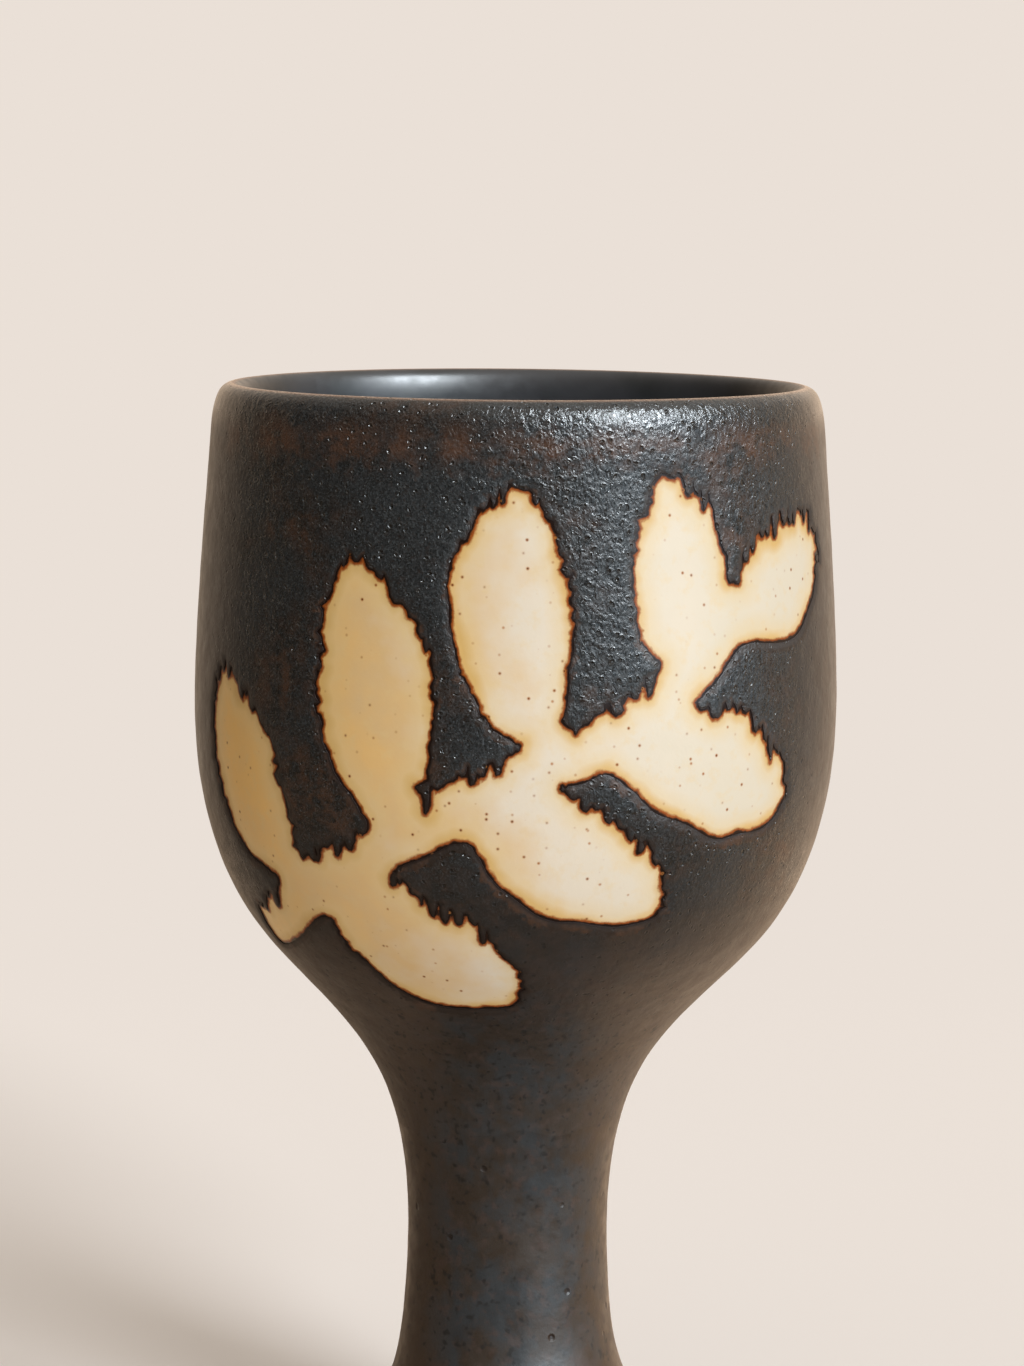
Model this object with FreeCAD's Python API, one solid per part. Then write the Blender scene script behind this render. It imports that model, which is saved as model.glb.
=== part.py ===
"""Stemmed stoneware cup without handles, built as a potter builds it, in millimetres.

The bowl and the hollow stem are thrown apart and luted together with slip and a coil.
The bowl gets a cream glaze, then a dark one that a wax-painted sprig keeps off in places.
The stem is dipped by itself, and a liner glaze covers the inside of the bowl up to the lip's crest.
The origin is the middle of the foot's underside, +Z is up, and the sprig faces -Y.
"""

import FreeCAD
import Part

import math
import os

Vector = FreeCAD.Vector

# Heights above the table
total_height = 148.0
belly_height = 106.7
joint_height = 61.5
waist_height = 35.8
foot_edge_height = 2.8

# Radii of the glazed outside
rim_outer_radius = 40.36
belly_radius = 42.5
waist_radius = 13.33
foot_radius = 32.0

# Lip: it rounds over from the outer shoulder to the crest, and from the crest to the inside
lip_shoulder_width = 2.76
lip_shoulder_height = 4.8
lip_inner_height = 3.2

# Clay walls
lip_wall = 3.3
bowl_wall = 4.1
bowl_floor = 6.4
stem_wall = 4.5

# Glaze coats
cream_thickness = 0.35
dark_thickness = 0.35
liner_thickness = 0.6
cream_end_above_joint = 4.0
dip_lap_below_joint = 7.5
dip_lap_width = 4.0

# Luted joint between bowl and stem
joint_face_width = 6.7
slip_thickness = 0.5
locating_ring_depth = 3.5
locating_ring_wall = 3.0
seat_relief = 1.0
coil_depth = 2.2
coil_half_height = 2.0

# Foot ring
foot_ring_width = 6.5
foot_base_round = 1.0

# Wax-painted sprig
leaf_width = 15.0
sprig_stroke_width = 6.4
window_overrun = 6.0

# Outline of the lip on either side of its crest: shares of its width and height there
lip_round_shares = [(0.33, 0.05), (0.61, 0.19), (0.79, 0.4), (0.915, 0.67)]
# Outline from the shoulder down to the belly: shares of their radii and heights apart
upper_wall_shares = [(0.12, 0.09), (0.225, 0.18), (0.46, 0.36), (0.67, 0.544), (0.85, 0.726), (0.97, 0.9)]
# Outline from the belly to the waist: shares of their radii and heights apart, from the waist
lower_wall_shares = [
    (0.9976, 0.953),
    (0.9785, 0.858),
    (0.9314, 0.764),
    (0.8487, 0.669),
    (0.7123, 0.574),
    (0.5024, 0.479),
    (0.2837, 0.383),
    (0.1323, 0.288),
    (0.0503, 0.192),
    (0.0114, 0.096),
    (0.0, 0.0),
]
# Outline from the waist to the foot's edge: shares of their radii and heights apart, from the foot's edge
foot_flare_shares = [
    (0.0026, 0.896),
    (0.0106, 0.792),
    (0.023, 0.689),
    (0.042, 0.584),
    (0.0752, 0.481),
    (0.116, 0.402),
    (0.212, 0.297),
    (0.368, 0.206),
    (0.561, 0.139),
    (0.764, 0.094),
    (0.9, 0.065),
    (0.975, 0.035),
]

# Where the bowl's inside follows its outside: shares of the height from floor to belly, and from belly to lip
cavity_lower_shares = [0.08, 0.27, 0.48, 0.72]
cavity_upper_shares = [0.0, 0.3, 0.6, 0.85]
# The cavity's floor between the wall and the middle: shares of the last wall point's radius and rise
floor_sag_shares = (0.55, 0.22)
# Where the stem's hollow follows its outside: shares of the height from waist to seat, and from foot to waist
hollow_upper_shares = [0.7, 0.35]
hollow_lower_shares = [1.0, 0.55, 0.33, 0.17]

# Sprig: angles from the front in degrees, positive to the right, and shares of the bowl's height above the joint
sprig_path_shares = [(-60.0, 0.19), (-36.0, 0.29), (-9.0, 0.41), (17.0, 0.52), (41.0, 0.66)]
# Leaves: the base and the tip in the same way, then how far the left and right side bulge, in shares of the width
leaf_shares = [
    (-45.0, 0.26, -64.0, 0.6, 0.55, 0.4),
    (-22.0, 0.36, -31.0, 0.77, 0.48, 0.6),
    (3.0, 0.47, -1.0, 0.89, 0.6, 0.46),
    (29.0, 0.59, 28.0, 0.91, 0.38, 0.56),
    (-37.0, 0.29, -3.0, 0.11, 0.42, 0.56),
    (-11.0, 0.41, 28.0, 0.24, 0.56, 0.44),
    (15.0, 0.52, 58.0, 0.4, 0.5, 0.52),
    (40.0, 0.65, 70.0, 0.79, 0.5, 0.42),
]

# Worked out from the sizes above
glaze_thickness = cream_thickness + dark_thickness
crest_radius = rim_outer_radius - lip_shoulder_width
inner_rim_radius = rim_outer_radius - glaze_thickness - lip_wall - liner_thickness
shoulder_height = total_height - lip_shoulder_height
cavity_floor_height = joint_height + bowl_floor
cream_end_height = joint_height + cream_end_above_joint
lap_top_height = joint_height - dip_lap_below_joint
lap_bottom_height = lap_top_height - dip_lap_width

OUTWARDS = Vector(1, 0, 0)
INWARDS = Vector(-1, 0, 0)


def between(low, high, share):
    return low + share * (high - low)


def at(radius, height):
    return Vector(radius, 0, height)


def smooth_curve(points, start):
    """The curve through the points that leaves the first one along start."""
    others = len(points) - 1
    curve = Part.BSplineCurve()
    curve.interpolate(
        Points=points,
        Tangents=[start] + [Vector()] * others,
        TangentFlags=[True] + [False] * others,
    )
    return curve


def beside(curve, point, distance, into_wall):
    """The point moved by distance, square to the curve, to the side where the wall is."""
    along = curve.tangent(curve.parameter(point))[0]
    return point + Vector(along.z, 0, -along.x) * (distance * into_wall)


def parameter_at(curve, height):
    """Where a curve that only descends passes a height, found by halving."""
    above, below = curve.FirstParameter, curve.LastParameter
    for _ in range(60):
        middle = (above + below) / 2
        if curve.value(middle).z > height:
            above = middle
        else:
            below = middle
    return (above + below) / 2


def outside_points():
    points = [at(crest_radius, total_height)]
    for across, down in lip_round_shares:
        points.append(at(crest_radius + across * lip_shoulder_width, total_height - down * lip_shoulder_height))
    points.append(at(rim_outer_radius, shoulder_height))
    for across, down in upper_wall_shares:
        points.append(
            at(between(rim_outer_radius, belly_radius, across), between(shoulder_height, belly_height, down))
        )
    points.append(at(belly_radius, belly_height))
    for across, up in lower_wall_shares:
        points.append(at(between(waist_radius, belly_radius, across), between(waist_height, belly_height, up)))
    for across, up in foot_flare_shares:
        points.append(at(between(waist_radius, foot_radius, across), between(foot_edge_height, waist_height, up)))
    points.append(at(foot_radius, foot_edge_height))
    return points


outside = smooth_curve(outside_points(), OUTWARDS)


def outside_at(depth):
    """The cup's outside, taken in by depth: the face of a glaze coat or of the clay."""
    return smooth_curve([beside(outside, p, depth, 1) for p in outside_points()], OUTWARDS)


def inset(height, depth):
    """The point inside the wall that lies depth from the outside at a height."""
    return beside(outside, outside.value(parameter_at(outside, height)), depth, 1)


def cavity_points():
    coats = glaze_thickness + liner_thickness
    points = [at(crest_radius, total_height)]
    for across, down in lip_round_shares:
        points.append(at(between(crest_radius, inner_rim_radius, across), total_height - down * lip_inner_height))
    points.append(at(inner_rim_radius, total_height - lip_inner_height))
    for share in reversed(cavity_upper_shares):
        wall = coats + between(bowl_wall, lip_wall, share)
        points.append(inset(between(belly_height, shoulder_height, share), wall))
    for share in reversed(cavity_lower_shares):
        points.append(inset(between(cavity_floor_height, belly_height, share), coats + bowl_wall))
    last = points[-1]
    across, up = floor_sag_shares
    points.append(at(last.x * across, between(cavity_floor_height, last.z, up)))
    points.append(at(0, cavity_floor_height))
    return points


cavity = smooth_curve(cavity_points(), INWARDS)


def cavity_at(depth):
    """The bowl's inside, moved into the wall by depth."""
    points = [beside(cavity, p, depth, -1) for p in cavity_points()]
    points[-1] = at(0, cavity_floor_height - depth)
    return smooth_curve(points, INWARDS)


def point_on(curve, height):
    return curve.value(parameter_at(curve, height))


def first_point(curve):
    return curve.value(curve.FirstParameter)


def last_point(curve):
    return curve.value(curve.LastParameter)


def stretch(curve, top=None, bottom=None):
    """The part of a descending curve between two heights, or up to its end where one isn't given."""
    first = curve.FirstParameter if top is None else parameter_at(curve, top)
    last = curve.LastParameter if bottom is None else parameter_at(curve, bottom)
    return curve.toShape(first, last)


def path(*points):
    """Straight edges through the points, leaving out any of no length."""
    pairs = zip(points, points[1:])
    return [Part.makeLine(a, b) for a, b in pairs if a.distanceToPoint(b) > 1e-6]


def turned(edges):
    """The solid that a closed outline makes when it turns about the cup's axis."""
    outline = Part.Wire(Part.__sortEdges__(edges))
    return Part.Face(outline).revolve(Vector(0, 0, 0), Vector(0, 0, 1), 360)


clay_face = outside_at(glaze_thickness)
cream_face = outside_at(dark_thickness)
clay_cavity = cavity_at(liner_thickness)

# The groove that the coil fills, as the corners of its outline
groove_top = point_on(clay_face, joint_height + coil_half_height)
groove_bottom = point_on(clay_face, joint_height - slip_thickness - coil_half_height)
groove_root = at(point_on(clay_face, joint_height).x - coil_depth, joint_height - slip_thickness / 2)


def on_groove(corner, height):
    """Where the groove's flank from its root to a corner passes a height."""
    share = (height - groove_root.z) / (corner.z - groove_root.z)
    return at(between(groove_root.x, corner.x, share), height)


bowl_edge = on_groove(groove_top, joint_height)
stem_edge = on_groove(groove_bottom, joint_height - slip_thickness)

# The bore in the stem's top, and the ring under the bowl that sits in it with slip all round
seat_radius = point_on(clay_face, joint_height).x - joint_face_width
seat_top = joint_height - slip_thickness
seat_bottom = joint_height - locating_ring_depth - seat_relief
ring_outer_radius = seat_radius - slip_thickness
ring_inner_radius = ring_outer_radius - locating_ring_wall
ring_bottom = joint_height - locating_ring_depth


def bowl_body():
    """Thrown bowl, turned underneath to a flat with a ring that centres it on the stem."""
    edges = [stretch(clay_face, bottom=groove_top.z), stretch(clay_cavity)]
    edges += path(
        groove_top,
        bowl_edge,
        at(ring_outer_radius, joint_height),
        at(ring_outer_radius, ring_bottom),
        at(ring_inner_radius, ring_bottom),
        at(ring_inner_radius, joint_height),
        at(0, joint_height),
        last_point(clay_cavity),
    )
    edges += path(first_point(clay_face), first_point(clay_cavity))
    return turned(edges)


def hollow_curve():
    """The inside of the stem, from the seat down to the foot ring's inner edge."""
    depth = glaze_thickness + stem_wall
    points = [at(seat_radius, seat_bottom)]
    for share in hollow_upper_shares:
        points.append(inset(between(waist_height, seat_bottom, share), depth))
    for share in hollow_lower_shares:
        points.append(inset(between(foot_edge_height, waist_height, share), depth))
    points.append(at(foot_radius - glaze_thickness - foot_ring_width, 0))
    curve = Part.BSplineCurve()
    curve.interpolate(Points=points)
    return curve


def stem_and_foot():
    """Thrown hollow stem that flares into the foot, which stands on a bare ring."""
    bare_radius = foot_radius - glaze_thickness
    base_edge = at(bare_radius - foot_base_round, 0)
    round_top = at(bare_radius, foot_base_round)
    round_inset = foot_base_round * (1 - math.sqrt(0.5))
    round_middle = at(bare_radius - round_inset, round_inset)
    edges = [stretch(clay_face, top=groove_bottom.z), hollow_curve().toShape()]
    edges.append(Part.Arc(round_top, round_middle, base_edge).toShape())
    edges += path(last_point(clay_face), round_top)
    edges += path(base_edge, at(bare_radius - foot_ring_width, 0))
    edges += path(at(seat_radius, seat_bottom), at(seat_radius, seat_top), stem_edge, groove_bottom)
    return turned(edges)


def joint_slip():
    """Slip that fills the flat of the joint and the gap round the bowl's ring."""
    return turned(
        path(
            groove_root,
            stem_edge,
            at(seat_radius, seat_top),
            at(seat_radius, ring_bottom),
            at(ring_outer_radius, ring_bottom),
            at(ring_outer_radius, joint_height),
            bowl_edge,
            groove_root,
        )
    )


def joint_coil():
    """Coil of clay worked into the groove round the joint and smoothed to the wall."""
    edges = [stretch(clay_face, groove_top.z, groove_bottom.z)]
    return turned(edges + path(groove_top, groove_root, groove_bottom))


def cream_glaze():
    """First coat, over the bowl's whole outside."""
    edges = [stretch(cream_face, bottom=cream_end_height), stretch(clay_face, bottom=cream_end_height)]
    edges += path(first_point(cream_face), first_point(clay_face))
    edges += path(point_on(cream_face, cream_end_height), point_on(clay_face, cream_end_height))
    return turned(edges)


def dark_coat_solid():
    """Second coat, over the cream one, the joint and the top of the stem's own coat."""
    edges = [
        stretch(outside, bottom=lap_bottom_height),
        stretch(cream_face, bottom=cream_end_height),
        stretch(clay_face, cream_end_height, lap_top_height),
        stretch(cream_face, lap_top_height, lap_bottom_height),
    ]
    edges += path(first_point(outside), first_point(cream_face))
    edges += path(point_on(cream_face, cream_end_height), point_on(clay_face, cream_end_height))
    edges += path(point_on(clay_face, lap_top_height), point_on(cream_face, lap_top_height))
    edges += path(point_on(cream_face, lap_bottom_height), point_on(outside, lap_bottom_height))
    return turned(edges)


def window(angle, outline):
    """A cutter for the coat: an outline on the plane that touches the bowl at an angle, pushed outwards."""
    face = Part.Face(Part.Wire(Part.__sortEdges__(outline)))
    face.translate(Vector(0, -waist_radius, 0))
    cutter = face.extrude(Vector(0, -(belly_radius + window_overrun - waist_radius), 0))
    cutter.rotate(Vector(0, 0, 0), Vector(0, 0, 1), angle)
    return cutter


def motif_ends(start, end):
    """The middle angle of a stroke, and its two ends on the plane that touches the bowl there."""
    middle = (start[0] + end[0]) / 2
    ends = []
    for angle, share in (start, end):
        sideways = belly_radius * math.sin(math.radians(angle - middle))
        ends.append(at(sideways, between(joint_height, total_height, share)))
    return middle, ends


def leaf_window(base_angle, base_share, tip_angle, tip_share, left_share, right_share):
    """A leaf between two arcs."""
    angle, (base, tip) = motif_ends((base_angle, base_share), (tip_angle, tip_share))
    along = (tip - base).normalize()
    left = Vector(-along.z, 0, along.x) * leaf_width
    middle = (base + tip) / 2
    bulges = (left * left_share, left * -right_share)
    return window(angle, [Part.Arc(base, middle + bulge, tip).toShape() for bulge in bulges])


def stroke_window(start, end):
    """A straight brush stroke with round ends."""
    angle, (a, b) = motif_ends(start, end)
    along = (b - a).normalize() * (sprig_stroke_width / 2)
    side = Vector(-along.z, 0, along.x)
    outline = [
        Part.Arc(a + side, a - along, a - side).toShape(),
        Part.Arc(b + side, b + along, b - side).toShape(),
    ]
    return window(angle, outline + path(a + side, b + side) + path(a - side, b - side))


def dark_glaze_bowl():
    """The second coat with the sprig left open, where the wax kept the glaze off the cream."""
    cutters = [stroke_window(a, b) for a, b in zip(sprig_path_shares, sprig_path_shares[1:])]
    cutters += [leaf_window(*leaf) for leaf in leaf_shares]
    return dark_coat_solid().cut(cutters)


def dark_glaze_stem():
    """The stem's own coat, from under the bowl's coat down to the wiped foot."""
    edges = [
        stretch(cream_face, lap_top_height, lap_bottom_height),
        stretch(outside, top=lap_bottom_height),
        stretch(clay_face, top=lap_top_height),
    ]
    edges += path(point_on(cream_face, lap_top_height), point_on(clay_face, lap_top_height))
    edges += path(point_on(cream_face, lap_bottom_height), point_on(outside, lap_bottom_height))
    edges += path(last_point(outside), last_point(clay_face))
    return turned(edges)


def liner_glaze():
    """Glossy coat on the inside of the bowl, up to the lip's crest."""
    edges = [stretch(cavity), stretch(clay_cavity)]
    edges += path(first_point(cavity), first_point(clay_cavity))
    edges += path(last_point(cavity), last_point(clay_cavity))
    return turned(edges)


pieces = {
    "bowl_body": bowl_body,
    "stem_and_foot": stem_and_foot,
    "joint_slip": joint_slip,
    "joint_coil": joint_coil,
    "cream_glaze": cream_glaze,
    "dark_glaze_bowl": dark_glaze_bowl,
    "dark_glaze_stem": dark_glaze_stem,
    "liner_glaze": liner_glaze,
}

os.makedirs("parts", exist_ok=True)
for name, make in pieces.items():
    solid = make()
    solid.exportStep(f"parts/{name}.step")
    print(name, "solids", len(solid.Solids), "valid", solid.isValid(), "volume", round(solid.Volume, 1))
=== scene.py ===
"""Stemmed stoneware cup: its glazes, bare clay and setting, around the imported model.

Shapes are worked out in millimetres and put into metres where a mesh is made. A place on the
cup is given by its turn, the angle from the front with positive to the right, and by its run,
the way along the section from the foot's edge up the outside, over the lip and down inside.
"""

import math
from functools import partial

import bpy
import numpy as np
from mathutils import Matrix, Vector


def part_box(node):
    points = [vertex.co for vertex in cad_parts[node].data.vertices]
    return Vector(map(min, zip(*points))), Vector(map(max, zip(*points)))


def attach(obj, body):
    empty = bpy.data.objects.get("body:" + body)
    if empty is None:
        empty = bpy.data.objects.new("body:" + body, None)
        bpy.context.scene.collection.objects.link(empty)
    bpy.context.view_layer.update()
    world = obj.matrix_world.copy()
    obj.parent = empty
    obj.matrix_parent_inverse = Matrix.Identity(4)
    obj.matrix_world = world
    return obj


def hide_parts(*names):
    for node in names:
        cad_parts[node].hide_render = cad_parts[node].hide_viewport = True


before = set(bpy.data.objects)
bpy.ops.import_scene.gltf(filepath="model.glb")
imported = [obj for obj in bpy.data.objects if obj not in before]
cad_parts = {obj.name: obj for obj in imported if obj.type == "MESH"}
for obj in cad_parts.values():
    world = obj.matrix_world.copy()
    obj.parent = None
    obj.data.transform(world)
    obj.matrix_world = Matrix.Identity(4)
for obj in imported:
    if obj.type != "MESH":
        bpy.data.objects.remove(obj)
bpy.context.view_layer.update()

MM = 0.001


def node_box(name):
    """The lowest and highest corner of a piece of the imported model, in millimetres."""
    low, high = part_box(name)
    return np.array(low) / MM, np.array(high) / MM


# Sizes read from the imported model
bowl_low, bowl_high = node_box("dark_glaze_bowl")
stem_low, stem_high = node_box("dark_glaze_stem")
clay_high = node_box("stem_and_foot")[1]
total_height = bowl_high[2]
belly_radius = bowl_high[0]
dip_line_height = bowl_low[2]
cream_end_height = node_box("cream_glaze")[0][2]
foot_radius = stem_high[0]
foot_edge_height = stem_low[2]
bare_foot_radius = clay_high[0]
seat_height = clay_high[2]
joint_height = node_box("joint_slip")[1][2]

# Sizes of the outline that no box gives
belly_height = 106.7
waist_height = 35.8
waist_radius = 13.33
rim_outer_radius = 40.36
lip_shoulder_width = 2.76
lip_shoulder_height = 4.8
lip_inner_height = 3.2
lip_wall = 3.3
bowl_wall = 4.1
bowl_floor = 6.4
stem_wall = 4.5
foot_ring_width = 6.5
foot_base_round = 1.0
seat_radius = 12.89
seat_depth = 4.5
seat_chamfer_height = 2.5
seat_chamfer_width = 2.0

# Coats
cream_thickness = 0.35
dark_thickness = 0.35
liner_thickness = 0.6
glaze_thickness = cream_thickness + dark_thickness
edge_drop = 0.17
hidden_gap = 0.02

# Wax-painted sprig
leaf_width = 15.0
sprig_stroke_width = 6.4
sprig_path_shares = [(-60.0, 0.19), (-36.0, 0.29), (-9.0, 0.41), (17.0, 0.52), (41.0, 0.66)]
leaf_shares = [
    (-45.0, 0.26, -64.0, 0.6, 0.55, 0.4),
    (-22.0, 0.36, -31.0, 0.77, 0.48, 0.6),
    (3.0, 0.47, -1.0, 0.89, 0.6, 0.46),
    (29.0, 0.59, 28.0, 0.91, 0.38, 0.56),
    (-37.0, 0.29, -3.0, 0.11, 0.42, 0.56),
    (-11.0, 0.41, 28.0, 0.24, 0.56, 0.44),
    (15.0, 0.52, 58.0, 0.4, 0.5, 0.52),
    (40.0, 0.65, 70.0, 0.79, 0.5, 0.42),
]

# Outline of the section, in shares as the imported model's own outline
lip_round_shares = [(0.33, 0.05), (0.61, 0.19), (0.79, 0.4), (0.915, 0.67)]
upper_wall_shares = [(0.12, 0.09), (0.225, 0.18), (0.46, 0.36), (0.67, 0.544), (0.85, 0.726), (0.97, 0.9)]
lower_wall_shares = [
    (0.9976, 0.953), (0.9785, 0.858), (0.9314, 0.764), (0.8487, 0.669), (0.7123, 0.574), (0.5024, 0.479),
    (0.2837, 0.383), (0.1323, 0.288), (0.0503, 0.192), (0.0114, 0.096), (0.0, 0.0),
]
foot_flare_shares = [
    (0.0026, 0.896), (0.0106, 0.792), (0.023, 0.689), (0.042, 0.584), (0.0752, 0.481), (0.116, 0.402),
    (0.212, 0.297), (0.368, 0.206), (0.561, 0.139), (0.764, 0.094), (0.9, 0.065), (0.975, 0.035),
]
cavity_upper_shares = [0.85, 0.6, 0.3, 0.0]
cavity_lower_shares = [0.72, 0.48, 0.27, 0.08]
floor_sag_shares = (0.55, 0.22)
hollow_shares = [0.7, 0.35]
hollow_flare_shares = [1.0, 0.55, 0.33, 0.17]

crest_radius = rim_outer_radius - lip_shoulder_width
shoulder_height = total_height - lip_shoulder_height
inner_rim_radius = rim_outer_radius - glaze_thickness - lip_wall - liner_thickness
cavity_floor_height = joint_height + bowl_floor

# How finely the meshes are cut, and where the sprig, the foot and the lip need it finest
fine_step = 0.4
fine_rise = 0.55
plain_step = 1.2
back_step = 2.6
hidden_step = 3.0
lip_step = 0.35
section_step = 0.05
fine_angle = 76.0
fine_low = 67.5
fine_high = 142.5
foot_step = 0.5
foot_detail_height = 14.0
lip_detail_run = 6.0

# The potter's hand
stem_lean = 0.47
dip_fade = 9.0
finger_ridge = 0.12
finger_ridge_pitch = 4.2

# Random values are drawn for a square lattice of this many rows, which then repeats
lattice_size = 128


def between(low, high, share):
    return low + share * (high - low)


def smoothstep(low, high, value):
    """0 below low, 1 above high, and 3t²-2t³ between them."""
    t = np.clip((value - low) / (high - low), 0.0, 1.0)
    return t * t * (3 - 2 * t)


def spline(points, step):
    """A natural cubic spline through points over their chord length, read at even steps.

    The bendings, its second derivatives at the points, solve the system in which slopes meet.
    """
    points = np.array(points, float)
    gap = np.linalg.norm(np.diff(points, axis=0), axis=1)
    knot = np.concatenate([[0.0], np.cumsum(gap)])
    size = len(points)
    system = np.eye(size)
    wanted = np.zeros((size, 2))
    inner = np.arange(1, size - 1)
    system[inner, inner - 1] = gap[:-1]
    system[inner, inner] = 2 * (gap[:-1] + gap[1:])
    system[inner, inner + 1] = gap[1:]
    slope = np.diff(points, axis=0) / gap[:, None]
    wanted[inner] = 6 * np.diff(slope, axis=0)
    bending = np.linalg.solve(system, wanted)
    at = np.linspace(0.0, knot[-1], int(knot[-1] / step) + 1)
    k = np.clip(np.searchsorted(knot, at, side="right") - 1, 0, size - 2)
    h = gap[k][:, None]
    b = ((at - knot[k]) / gap[k])[:, None]
    a = 1 - b
    curved = ((a**3 - a) * bending[k] + (b**3 - b) * bending[k + 1]) * h**2 / 6
    return a * points[k] + b * points[k + 1] + curved


def by_shares(shares, start, end):
    """Points at shares of the way from one corner to another, each a radius and a height."""
    return [(between(start[0], end[0], across), between(start[1], end[1], up)) for across, up in shares]


def outside_points():
    """The outline's points from the foot's edge up to the lip's crest."""
    foot_edge = (foot_radius, foot_edge_height)
    waist = (waist_radius, waist_height)
    belly = (belly_radius, belly_height)
    shoulder = (rim_outer_radius, shoulder_height)
    lip_crest = (crest_radius, total_height)
    below_waist = (waist_radius, foot_edge_height)
    flare = by_shares(foot_flare_shares[::-1], below_waist, (foot_radius, waist_height))
    lower_wall = by_shares(lower_wall_shares[::-1], waist, belly)
    upper_wall = by_shares(upper_wall_shares[::-1], shoulder, belly)
    lip_round = by_shares(lip_round_shares[::-1], lip_crest, shoulder)
    return [foot_edge, *flare, *lower_wall, belly, *upper_wall, shoulder, *lip_round, lip_crest]


def outward(line):
    """The unit vectors square to a line of radii and heights, out of the wall on its left."""
    along = np.gradient(line, axis=0)
    along /= np.linalg.norm(along, axis=1)[:, None]
    return np.stack([along[:, 1], -along[:, 0]], axis=1)


outside = spline(outside_points(), section_step)


def inset(height, depth):
    """The point inside the wall that lies depth from the outside at a height."""
    k = np.searchsorted(outside[:, 1], height)
    return outside[k] - depth * outward(outside)[k]


def cavity_points():
    """The cavity's points from below the crest down to the middle of the floor."""
    coats = glaze_thickness + liner_thickness
    inner_rim = (inner_rim_radius, total_height - lip_inner_height)
    points = by_shares(lip_round_shares, (crest_radius, total_height), inner_rim) + [inner_rim]
    for share in cavity_upper_shares:
        wall = coats + between(bowl_wall, lip_wall, share)
        points.append(inset(between(belly_height, shoulder_height, share), wall))
    for share in cavity_lower_shares:
        points.append(inset(between(cavity_floor_height, belly_height, share), coats + bowl_wall))
    last_radius, last_height = points[-1]
    across, up = floor_sag_shares
    points.append((last_radius * across, between(cavity_floor_height, last_height, up)))
    points.append((0.0, cavity_floor_height))
    return points


def hollow_points():
    """The stem's hollow from the foot ring's inner edge up to the seat of the bowl's ring."""
    depth = glaze_thickness + stem_wall
    points = [(bare_foot_radius - foot_ring_width, 0.0)]
    for share in reversed(hollow_flare_shares):
        points.append(inset(between(foot_edge_height, waist_height, share), depth))
    for share in reversed(hollow_shares):
        points.append(inset(between(waist_height, joint_height - seat_depth, share), depth))
    points.append((seat_radius, joint_height - seat_depth))
    return points


# The whole section as one line, with its outward vectors and the run along it
section = spline(outside_points() + cavity_points(), section_step)
section_out = outward(section)
section_run = np.arange(len(section)) * section_step
crest = int(np.argmax(section[:, 1]))
crest_run = section_run[crest]
last_run = section_run[-1]


def run_at(height):
    """The run at which the outside passes a height."""
    return np.interp(height, section[:crest, 1], section_run[:crest])


dip_run = run_at(dip_line_height)
cream_run = run_at(cream_end_height)


def read(table, run):
    """The radius and height that one of the section's tables has at a run."""
    return [np.interp(run, section_run, table[:, k]) for k in (0, 1)]


def dip_wave(turn, run):
    """How the dip line at the bottom of the bowl's coat wanders, fading out above it."""
    fade = smoothstep(dip_run + dip_fade, dip_run, run)
    return fade * (0.8 * np.sin(2 * turn + 0.4) + 0.5 * np.sin(5 * turn + 2.0) + 0.25 * np.sin(11 * turn))


def unevenness(turn, run):
    """How far the thrown surface lies inside the outline: slow swells and the rings left by fingers.

    It is a sum of sines, lifted to stay above zero.
    """
    swell = np.sin(2 * turn + 0.8 + run / 60) + 0.7 * np.sin(3 * turn - 1.1 - run / 41)
    rings = np.sin(run / 1.05 + turn) + 0.6 * np.sin(run / 0.63 + 2 * turn + 1.7)
    return 0.025 * (swell + 1.7) + 0.009 * (rings + 1.6)


def lean(height):
    """How far the stem stands off the bowl's axis, to the left, between the bowl and the foot."""
    return -stem_lean * smoothstep(78.0, 58.0, height) * smoothstep(6.0, 24.0, height)


def place(turn, run, depth):
    """Points in space, in millimetres, at a depth under the section's surface."""
    run = run + dip_wave(turn, run)
    radius, height = read(section, run)
    out_radius, out_height = read(section_out, run)
    inwards = depth + unevenness(turn, run)
    radius = np.maximum(radius - inwards * out_radius, 0.0)
    height = height - inwards * out_height
    return np.stack([radius * np.sin(turn) + lean(height), -radius * np.cos(turn), height], axis=-1)


def random_hills(x, y, size, seed):
    """Hills and hollows about size apart, from -1 to 1.

    Random values stand on a square lattice and are joined by 3t²-2t³ between neighbours.
    """
    n = lattice_size
    lattice = np.random.default_rng(seed).uniform(-1.0, 1.0, (n, n))
    column, row = np.floor(x / size).astype(int), np.floor(y / size).astype(int)
    a, b = x / size - column, y / size - row
    a, b = a * a * (3 - 2 * a), b * b * (3 - 2 * b)
    left, right = column % n, (column + 1) % n
    low, high = ((1 - a) * lattice[left, r] + a * lattice[right, r] for r in (row % n, (row + 1) % n))
    return (1 - b) * low + b * high


# Meshes

def add_object(name, data):
    new = bpy.data.objects.new(name, data)
    bpy.context.scene.collection.objects.link(new)
    return new


def make_piece(name, points, faces, material, attributes=()):
    """A mesh piece from points in millimetres, riding on the one body of the cup."""
    mesh = bpy.data.meshes.new(name)
    mesh.from_pydata((points * MM).tolist(), [], faces)
    for label, values in attributes:
        mesh.attributes.new(label, "FLOAT", "POINT").data.foreach_set("value", values.astype(np.float32))
    mesh.polygons.foreach_set("use_smooth", np.ones(len(mesh.polygons), bool))
    mesh.set_sharp_from_angle(angle=math.radians(45))
    mesh.update()
    mesh.materials.append(material)
    piece = add_object(name, mesh)
    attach(piece, "root")
    return piece


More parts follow.
